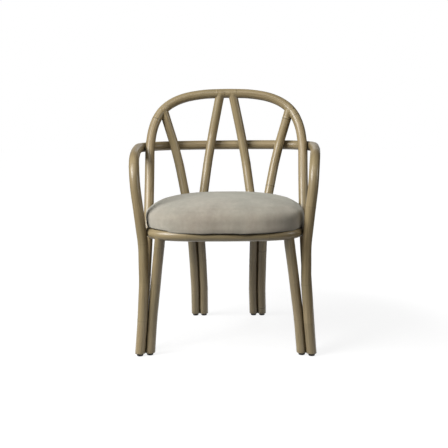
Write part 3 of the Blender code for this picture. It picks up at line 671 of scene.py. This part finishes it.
def fittingMaterial(name, finish):  # fine grit, with worn patches
    material, tree, shader = newMaterial(name, finish)
    place = addNode(tree, "ShaderNodeTexCoord", (-900, 0)).outputs["Object"]
    grit = useGroup(tree, (-700, 100), fineGrit, Coordinate=place, Size=finish["grit"], Seed=finish["seed"])["Grit"]
    patch = useGroup(tree, (-700, -100), toneClouds, Coordinate=place, Size=finish["patch"],
                     Seed=finish["seed"])["Tone"]
    skin = tint(tree, (-300, 100), finish["colour"], finish["worn"], patch, finish["patchShare"])
    rough = calc(tree, (-300, -100), "MULTIPLY_ADD", grit, finish["roughSpread"], finish["roughness"])
    skinOver(tree, shader, skin, rough, grit, finish)
    return material


screwSizes = dict(proud=0.0005, sides=32, slotHalf=0.12, slotReach=0.55, slotDepth=0.3, spin=3.1, seed=7)
steelFinish = dict(
    colour=(0.46, 0.43, 0.37, 1.0), worn=(0.3, 0.27, 0.22, 1.0), patch=0.006, patchShare=1.0, grit=0.0004,
    roughness=0.34, roughSpread=0.2, bump=0.1, bumpDepth=0.0001, seed=4.0, sockets={"Metallic": 1.0})


def crossSlot(x, y):
    inArm = min(abs(x), abs(y)) < screwSizes["slotHalf"] and max(abs(x), abs(y)) < screwSizes["slotReach"]
    return screwSizes["slotDepth"] if inArm else 0.0


def screwSeat(node):
    spots = edgeEnds(node).reshape(-1, 3)
    spots = np.unique(spots.round(6), axis=0)
    axis = np.linalg.svd(spots - spots.mean(0))[2][0]
    along = (spots - spots.mean(0)) @ axis
    off = np.linalg.norm(spots - spots.mean(0) - along[:, None] * axis, axis=1)
    if off[along > 0].max() < off[along < 0].max():
        axis, along = -axis, -along
    return spots.mean(0) + axis * (along.max() + screwSizes["proud"]), axis, off.max()


headProfile = [(0.0, 0.2), (0.14, 0.2), (0.3, 0.19), (0.45, 0.17), (0.62, 0.13), (0.85, 0.04), (1.0, -0.08),
               (0.9, -0.3), (0.5, -0.75), (0.0, -0.75)]
screwNodes = sorted(node for node in cadNodes if node.startswith("screw_"))
seats = [screwSeat(node) for node in screwNodes]
headShape = turnedShape("screwHead", headProfile, screwSizes["sides"], crossSlot)
places, aims, wide = zip(*seats)
screws = runTree(pointsObject("frame_screws", places, aims, [[half] * 3 for half in wide]), fittingTree, {
    "Shape": headShape, "Spin": screwSizes["spin"], "Seed": screwSizes["seed"],
    "Material": fittingMaterial("zincSteel", steelFinish)})
bpy.data.objects.remove(headShape)
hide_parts(*screwNodes)
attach(screws, "frame")

glideSizes = dict(sides=36, rim=0.12, shoulder=0.3, wide=1.1, spin=0.0, seed=1)
nylonFinish = dict(
    colour=(0.022, 0.02, 0.018, 1.0), worn=(0.06, 0.055, 0.05, 1.0), patch=0.012, patchShare=0.5, grit=0.0009,
    roughness=0.46, roughSpread=0.18, bump=0.2, bumpDepth=0.0003, seed=6.0, sockets={"Specular IOR Level": 0.4})

glideNodes = sorted(node for node in cadNodes if node.startswith("glide_"))
glideBoxes = [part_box(node) for node in glideNodes]
rim, shoulder = glideSizes["rim"], glideSizes["shoulder"]
glideProfile = [(0.0, 0.0), (1 - 2 * rim, 0.0), (1 - rim, 0.05), (1 - 0.3 * rim, 0.16), (1.0, shoulder),
                (1.0, 1 - rim), (1 - 0.3 * rim, 0.96), (1 - rim, 1.0), (0.0, 1.0)]
glideShape = turnedShape("glideTurned", glideProfile, glideSizes["sides"])
places = [((a.x + b.x) / 2, (a.y + b.y) / 2, a.z) for a, b in glideBoxes]
wide = glideSizes["wide"]
spans = [((b.x - a.x) / 2 * wide, (b.y - a.y) / 2 * wide, b.z - a.z + poleSizes["footTrim"]) for a, b in glideBoxes]
glides = runTree(pointsObject("foot_glides", places, [up] * len(places), spans), fittingTree, {
    "Shape": glideShape, "Spin": glideSizes["spin"], "Seed": glideSizes["seed"],
    "Material": fittingMaterial("mouldedNylon", nylonFinish)})
bpy.data.objects.remove(glideShape)
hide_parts(*glideNodes)
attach(glides, "frame")
print("fittings:", len(screwNodes), "screws,", len(glideNodes), "glides")


# the board under the pad keeps its solid and gets ply grain

plyFinish = dict(
    pale=(0.5, 0.365, 0.22, 1.0), deep=(0.34, 0.23, 0.125, 1.0), fibreWidth=0.006, fibreLength=0.14,
    cloudSize=0.09, cloudShare=0.3, roughness=0.52, roughSpread=0.2, bump=0.15, bumpDepth=0.0004, seed=14.0,
    sockets={"Specular IOR Level": 0.4})


def plyMaterial(finish):
    material, tree, shader = newMaterial("plyBoard", finish)
    place = addNode(tree, "ShaderNodeTexCoord", (-1300, 0)).outputs["Object"]
    turn = addNode(tree, "ShaderNodeMapping", (-1100, 0), {
        "Vector": place, "Rotation": (0.0, math.radians(90), 0.0)})  # grain runs from side to side
    grain = useGroup(tree, (-900, 100), fibreGrain, Coordinate=turn.outputs["Vector"], Width=finish["fibreWidth"],
                     Length=finish["fibreLength"], Seed=finish["seed"])
    cloud = useGroup(tree, (-900, -100), toneClouds, Coordinate=place, Size=finish["cloudSize"],
                     Seed=finish["seed"])["Tone"]
    wood = mixColour(tree, (-600, 100), grain["Streak"], finish["pale"], finish["deep"])
    wood = tint(tree, (-400, 100), wood, finish["deep"], cloud, finish["cloudShare"])
    rough = calc(tree, (-400, -100), "MULTIPLY_ADD", grain["Pore"], finish["roughSpread"], finish["roughness"])
    skinOver(tree, shader, wood, rough, grain["Pore"], finish)
    return material


board = cadNodes["seat_deck"].data
board.materials.clear()
board.materials.append(plyMaterial(plyFinish))
print("seat board dressed")


# the loose pad, blown up as cloth from the solid's own form

padSizes = dict(
    inset=0.002, voxel=0.005, relax=0.5, relaxPasses=2, pressure=4.0, frames=20, cap=0.005, keep=0.95, spill=0.0015,
    fill=0.85, columns=360, flatRows=24, rimRows=64, rimDepth=0.045, rimLevel=0.02, edgeLevel=1.2, evenPasses=24,
    rimCorner=0.013, rimCrisp=5.0, rimOut=0.006, rimOutRight=1.7, rimOutFront=1.5,
    sag=0.0155, sagRight=0.007, sagHeight=0.045, sagSpan=1.3, sagWave=0.0006, waves=13, waveDrift=2.0, driftWaves=3)
velvetFinish = dict(
    light=(0.408, 0.35, 0.283, 1.0), dark=(0.332, 0.28, 0.22, 1.0), green=(0.355, 0.342, 0.28, 1.0),
    # edge: the pale colour of a painted sheen, laid on where the cover is seen side-on
    edge=(0.55, 0.55, 0.49, 1.0), paintedSheenShare=0.55, pile=0.0011, pileSpread=0.24, pileLean=0.38,
    brushWidth=0.035, brushLength=0.2, cloudSize=0.13, cloudShare=0.6,
    crushSize=0.05, crush=0.14, crushSeed=2.0, mottleSize=0.011, mottle=0.1, mottleSeed=3.0,
    roughness=0.82, roughSpread=0.1, bump=0.35, bumpDepth=0.0006, seed=21.0,
    sockets={"Sheen Weight": 0.15, "Sheen Roughness": 0.5, "Sheen Tint": (0.9, 0.95, 0.86, 1.0),
             "Specular IOR Level": 0.2})


def velvetMaterial(finish):
    material, tree, shader = newMaterial("greyVelvet", finish)
    place = addNode(tree, "ShaderNodeTexCoord", (-1300, 0)).outputs["Object"]
    brush = useGroup(tree, (-1000, 200), fibreGrain, Coordinate=place, Width=finish["brushWidth"],
                     Length=finish["brushLength"], Seed=finish["seed"])["Streak"]
    cloud = useGroup(tree, (-1000, 0), toneClouds, Coordinate=place, Size=finish["cloudSize"],
                     Seed=finish["seed"])["Tone"]
    pile = useGroup(tree, (-1000, -200), fineGrit, Coordinate=place, Size=finish["pile"], Seed=finish["seed"])["Grit"]
    nap = mixColour(tree, (-700, 200), brush, finish["dark"], finish["light"])
    nap = tint(tree, (-500, 160), nap, finish["green"], cloud, finish["cloudShare"])
    facing = addNode(tree, "ShaderNodeLayerWeight", (-900, 420)).outputs["Facing"]  # painted sheen: the colour goes paler where the pile is seen side-on
    nap = tint(tree, (-400, 300), nap, finish["edge"], facing, finish["paintedSheenShare"])
    speck = about(tree, (-700, -200), pile, finish["pileSpread"])
    for step, effect in enumerate(("crush", "mottle")):  # hand marks in the pile
        level = -400 - 160 * step
        mark = useGroup(tree, (-1000, level), toneClouds, Coordinate=place, Size=finish[effect + "Size"],
                        Seed=finish["seed"] + finish[effect + "Seed"])["Tone"]
        speck = calc(tree, (-600, level), "MULTIPLY", speck, about(tree, (-800, level), mark, finish[effect]))
    rough = calc(tree, (-300, -60), "MULTIPLY_ADD", brush, finish["roughSpread"], finish["roughness"])
    standing = skinOver(tree, shader, shadeBy(tree, (-300, 120), nap, speck), rough, pile, finish)
    lift = finish["pileLean"] / (1.0 - finish["pileLean"])  # the pile leans up, wherever the cover faces
    lean = vectorCalc(tree, (0, -340), "ADD", standing, (0.0, 0.0, lift))
    leaning = addNode(tree, "ShaderNodeVectorMath", (150, -340), {0: lean}, operation="NORMALIZE")
    tree.links.new(leaning.outputs[0], shader.inputs["Normal"])
    return material


def padStart():
    soup = weldedMesh("seat_pad")
    bmesh.ops.recalc_face_normals(soup, faces=soup.faces)
    soup.normal_update()
    for v in soup.verts:
        v.co -= v.normal * padSizes["inset"]
    mesh = bpy.data.meshes.new("seat_pad_velvet")
    soup.to_mesh(mesh)
    soup.free()
    pad = newObject("seat_pad_velvet", mesh)
    remesh = pad.modifiers.new("remesh", "REMESH")
    remesh.mode = "VOXEL"
    remesh.voxel_size = padSizes["voxel"]
    relax = pad.modifiers.new("relax", "SMOOTH")
    relax.factor, relax.iterations = padSizes["relax"], padSizes["relaxPasses"]
    return bakeShape(pad)


def blowUp(pad):
    rest = meshPoints(pad.data)
    cloth = pad.modifiers.new("cloth", "CLOTH")
    cloth.settings.use_pressure = True
    cloth.settings.uniform_pressure_force = padSizes["pressure"]
    cloth.settings.effector_weights.gravity = 0.0
    cloth.collision_settings.use_collision = False
    for moment in range(1, padSizes["frames"] + 1):
        scene.frame_set(moment)
    bakeShape(pad)
    scene.frame_set(1)
    moved = meshPoints(pad.data) - rest
    reach = np.linalg.norm(moved, axis=1, keepdims=True)
    setPoints(pad.data, rest + moved * np.minimum(1.0, padSizes["cap"] / np.maximum(reach, 1e-9)))
    return pad


def keepForm(pad):  # the cloth may not fall short of the solid, nor spill far over it
    soup = weldedMesh("seat_pad")
    solid = BVHTree.FromBMesh(soup)
    soup.free()
    spots = meshPoints(pad.data)
    for index, spot in enumerate(spots):
        near, normal = solid.find_nearest(Vector(spot))[:2]
        off = (Vector(spot) - near).dot(normal)
        wanted = min(off, padSizes["spill"]) if off > 0 else off * (1.0 - padSizes["keep"])
        spots[index] = spot + np.array(normal) * (wanted - off)
    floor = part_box("seat_pad")[0].z
    spots[:, 2] = np.maximum(spots[:, 2], floor)  # flat where it lies on the ring and the board
    setPoints(pad.data, spots)


def reachAt(turn, outline, middle):  # how far an outline lies from the middle, at each turn
    turns = np.arctan2(outline[:, 1] - middle[1], outline[:, 0] - middle[0])
    return np.interp(turn, turns, np.linalg.norm(outline[:, :2] - middle, axis=1), period=2 * math.pi)


def evenRound(spans):  # takes the small steps out of spans that go round the pad
    for turnOver in range(padSizes["evenPasses"]):
        spans = (np.roll(spans, 1, -1) + 2.0 * spans + np.roll(spans, -1, -1)) / 4.0
    return spans


def padOutline():
    low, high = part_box("seat_pad")
    level = low.z + padSizes["edgeLevel"] * padSizes["rimCorner"]
    edge = planeSpots(edgeEnds("seat_pad"), np.array([0.0, 0.0, level]), np.array(up))
    middle = np.array([0.0, (low.y + high.y) / 2])
    turns = np.linspace(-math.pi, math.pi, padSizes["columns"], endpoint=False)
    rays = np.stack([np.cos(turns), np.sin(turns)], 1)
    spans = evenRound(reachAt(turns, edge, middle))
    return middle + rays * spans[:, None], middle, low.z


def padGrid(pad):  # the same form on rows and columns, so that the rim runs along a row
    edge, middle, floor = padOutline()
    soup = bmesh.new()
    soup.from_mesh(pad.data)
    skin = BVHTree.FromBMesh(soup)
    soup.free()
    count, core = padSizes["columns"], np.array([*middle, floor + padSizes["rimLevel"]])
    spans = np.linalg.norm(edge - middle, axis=1)[:, None]
    rays = np.column_stack([(edge - middle) / spans, np.zeros(count)])
    flats = np.linspace(0.0, 1.0, padSizes["flatRows"], endpoint=False)[1:]
    rows = [(share, -90.0) for share in flats]
    rows += [(1.0, lift) for lift in np.linspace(-90.0, 90.0, padSizes["rimRows"])]
    rows += [(share, 90.0) for share in flats[::-1]]
    spots = []
    for share, lift in rows:
        starts = core + rays * (spans - padSizes["rimDepth"]) * share
        aims = rays * math.cos(math.radians(lift)) + np.array(up) * math.sin(math.radians(lift))
        gaps = np.array([skin.ray_cast(Vector(start), Vector(aim))[3] for start, aim in zip(starts, aims)])
        spots += (starts + aims * evenRound(gaps)[:, None]).tolist()
    spots += [skin.ray_cast(Vector(core), Vector((0.0, 0.0, rise)))[0] for rise in (-1.0, 1.0)]
    last, under, over = count * (len(rows) - 1), len(spots) - 2, len(spots) - 1
    faces = []
    for step in range(count):
        after = (step + 1) % count
        faces += [(under, after, step), (over, last + step, last + after)]
        for row in range(0, last, count):
            faces.append((row + step, row + after, row + count + after, row + count + step))
    mesh = bpy.data.meshes.new("seat_pad_velvet")
    mesh.from_pydata(spots, [], faces)
    pad.data = mesh


def padRim(pad):  # a crisp lower rim, which sags a little where it hangs over the ring
    edge, middle, floor = padOutline()
    corner, crisp = padSizes["rimCorner"], padSizes["rimCrisp"]
    spots = meshPoints(pad.data)
    flat = spots[:, :2] - middle
    reach = start = np.maximum(np.linalg.norm(flat, axis=1), 1e-6)
    turn = np.arctan2(flat[:, 1], flat[:, 0])
    full, held = reachAt(turn, edge, middle), reachAt(turn, caneLines["seat_ring"][:-1], middle)
    inward, height = (full - reach) / corner - 1.0, (spots[:, 2] - floor) / corner - 1.0
    rounded = (inward < 0) & (height < 0)
    size = np.hypot(inward, height)
    flare = (np.abs(inward / size) ** crisp + np.abs(height / size) ** crisp) ** (-1.0 / crisp)
    flare = np.where(rounded, 1.0 + (flare - 1.0) * np.clip(2.0 * size - 1.0, 0.0, 1.0), 1.0)
    reach = full - (inward * flare + 1.0) * corner
    height = (height * flare + 1.0) * corner
    girth = girths["seat_ring"] + poleSizes["plump"]
    right = np.clip(padSizes["rimOutRight"] * np.cos(turn), 0.0, 1.0)
    out = padSizes["rimOut"] * right * np.clip(-padSizes["rimOutFront"] * np.sin(turn), 0.0, 1.0)
    over = np.maximum(full + out - held, 0.001)
    drop = girth - np.sqrt(np.maximum(girth ** 2 - over ** 2, 0.0))  # how far the ring falls away under the rim
    sag = padSizes["sag"] + padSizes["sagRight"] * right
    drift = padSizes["waveDrift"] * np.sin(padSizes["driftWaves"] * turn)
    sag += padSizes["sagWave"] * np.sin(padSizes["waves"] * turn + drift)
    share = np.clip(1.0 - (1.0 - (reach - held) / (over - out)) * padSizes["sagSpan"], 0.0, 1.0)
    share = eased(share) * np.clip(1.0 - height / padSizes["sagHeight"], 0.0, 1.0) ** 2
    reach = reach + out * share
    hang = np.minimum(drop, sag) * share
    spots[:, :2] = middle + flat * (reach / start)[:, None]
    spots[:, 2] = floor + height - hang
    setPoints(pad.data, spots)


pad = padStart()
pad = blowUp(pad)
keepForm(pad)
finer = pad.modifiers.new("finer", "SUBSURF")
finer.levels = finer.render_levels = 1
pad = bakeShape(pad)
padGrid(pad)
padRim(pad)
pad.data.materials.append(velvetMaterial(velvetFinish))
for face in pad.data.polygons:
    face.use_smooth = True
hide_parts("seat_pad")
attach(pad, "pad")
print("pad:", len(pad.data.polygons), "faces")


# floor, light and camera

stageSizes = dict(
    half=9.0, paper=0.22, beyond=0.06, paperEdge=(0.5, 1.1), glow=0.86, farGlow=1.0, sky=0.015, window=(0.95, 0.995),
    lightAim=(0.0, 0.0, 0.45), lightAway=3.0)
lightSizes = dict(
    key=dict(turn=-56.0, rise=33.0, size=(1.9, 1.2), power=94.0),
    high=dict(turn=-60.0, rise=55.0, size=(1.2, 1.0), power=18.0),
    fill=dict(turn=74.0, rise=18.0, size=(1.0, 1.0), power=13.0),
    front=dict(turn=4.0, rise=52.0, size=(1.2, 0.9), power=10.0),
    rear=dict(turn=168.0, rise=32.0, size=(1.6, 1.2), power=14.0, glares=False))
viewSizes = dict(
    eye=(0.06601, -2.72248, 0.78951), yaw=0.02668, pitchRise=132.0, roll=-0.00981,
    focal=861.0, frame=448.0, sensor=36.0)


def floorMaterial():
    material = bpy.data.materials.new("paleFloor")
    material.use_nodes = True
    tree = material.node_tree
    tree.nodes.clear()
    path = addNode(tree, "ShaderNodeLightPath", (-600, 200)).outputs
    seen = calc(tree, (-400, 200), "MAXIMUM", path["Is Camera Ray"], calc(
        tree, (-400, 60), "MAXIMUM", path["Is Glossy Ray"], path["Is Transmission Ray"]))
    place = addNode(tree, "ShaderNodeTexCoord", (-1200, -200)).outputs["Object"]
    away = addNode(tree, "ShaderNodeVectorMath", (-1000, -200), {0: place}, operation="LENGTH")
    onPaper = ramp(tree, (-800, -200), away.outputs["Value"], *stageSizes["paperEdge"], 1.0, 0.0)
    beyond, paper = ((stageSizes[label],) * 3 + (1.0,) for label in ("beyond", "paper"))
    matte = addNode(tree, "ShaderNodeBsdfDiffuse", (-400, -160), {
        "Color": mixColour(tree, (-600, -160), onPaper, beyond, paper)})
    lit = calc(tree, (-600, -420), "MAXIMUM", path["Is Camera Ray"], onPaper)
    white = ramp(tree, (-600, -580), onPaper, 0.0, 1.0, stageSizes["farGlow"], stageSizes["glow"])
    lit = calc(tree, (-400, -580), "MULTIPLY", lit, white)
    glow = addNode(tree, "ShaderNodeEmission", (-400, -320), {
        "Strength": calc(tree, (-200, -480), "MULTIPLY", seen, lit)})
    both = addNode(tree, "ShaderNodeAddShader", (-200, -200), {0: matte.outputs[0], 1: glow.outputs[0]})
    addNode(tree, "ShaderNodeOutputMaterial", (0, -200), {"Surface": both.outputs[0]})
    return material


half = stageSizes["half"]
floorMesh = bpy.data.meshes.new("floor")
floorMesh.from_pydata([(-half, -half, 0), (half, -half, 0), (half, half, 0), (-half, half, 0)], [], [(0, 1, 2, 3)])
floorMesh.materials.append(floorMaterial())
newObject("floor", floorMesh)

world = bpy.data.worlds.new("studio")
scene.world = world
world.use_nodes = True
skyTree = world.node_tree
sky = skyTree.nodes["Background"]
path = addNode(skyTree, "ShaderNodeLightPath", (-1000, 0)).outputs
heading = addNode(skyTree, "ShaderNodeSeparateXYZ", (-1000, -300), {
    0: addNode(skyTree, "ShaderNodeTexCoord", (-1200, -300)).outputs["Generated"]})
behind = ramp(skyTree, (-800, -300), heading.outputs["Y"], *stageSizes["window"])  # the backdrop's part of the sky
mirrored = calc(skyTree, (-800, 0), "MAXIMUM", path["Is Glossy Ray"], path["Is Transmission Ray"])
mirrored = calc(skyTree, (-600, -100), "MULTIPLY", mirrored, behind)
seen = calc(skyTree, (-400, 0), "MAXIMUM", path["Is Camera Ray"], mirrored)
feed(skyTree, sky.inputs["Strength"], ramp(skyTree, (-200, 0), seen, 0.0, 1.0, stageSizes["sky"]))
sky.inputs["Color"].default_value = (1.0, 1.0, 1.0, 1.0)


def softbox(name, turn, rise, size, power, glares=True):
    lamp = bpy.data.lights.new(name, "AREA")
    lamp.shape = "RECTANGLE"
    lamp.size, lamp.size_y = size
    lamp.energy = power
    box = bpy.data.objects.new(name, lamp)
    scene.collection.objects.link(box)
    turn, rise = math.radians(turn), math.radians(rise)
    towards = Vector((math.sin(turn) * math.cos(rise), -math.cos(turn) * math.cos(rise), math.sin(rise)))
    box.location = Vector(stageSizes["lightAim"]) + towards * stageSizes["lightAway"]
    box.rotation_euler = towards.to_track_quat("Z", "Y").to_euler()
    box.visible_glossy = glares  # whether the lacquer mirrors it


for label, sizes in lightSizes.items():
    softbox(label + "Box", **sizes)

yaw, roll = viewSizes["yaw"], viewSizes["roll"]
pitch = math.atan(viewSizes["pitchRise"] / viewSizes["focal"])
ahead = Vector((-math.sin(yaw) * math.cos(pitch), math.cos(yaw) * math.cos(pitch), -math.sin(pitch)))
level = Vector((math.cos(yaw), math.sin(yaw), 0.0))
rise = level.cross(ahead)
right = level * math.cos(roll) + rise * math.sin(roll)
above = rise * math.cos(roll) - level * math.sin(roll)
cameraData = bpy.data.cameras.new("photoView")
cameraData.sensor_width = viewSizes["sensor"]
cameraData.lens = cameraData.sensor_width * viewSizes["focal"] / viewSizes["frame"]
camera = bpy.data.objects.new("photoView", cameraData)
scene.collection.objects.link(camera)
camera.matrix_world = Matrix.Translation(viewSizes["eye"]) @ Matrix((right, above, -ahead)).transposed().to_4x4()
scene.camera = camera
scene.view_settings.view_transform = "Standard"

print("stage, light and camera set")
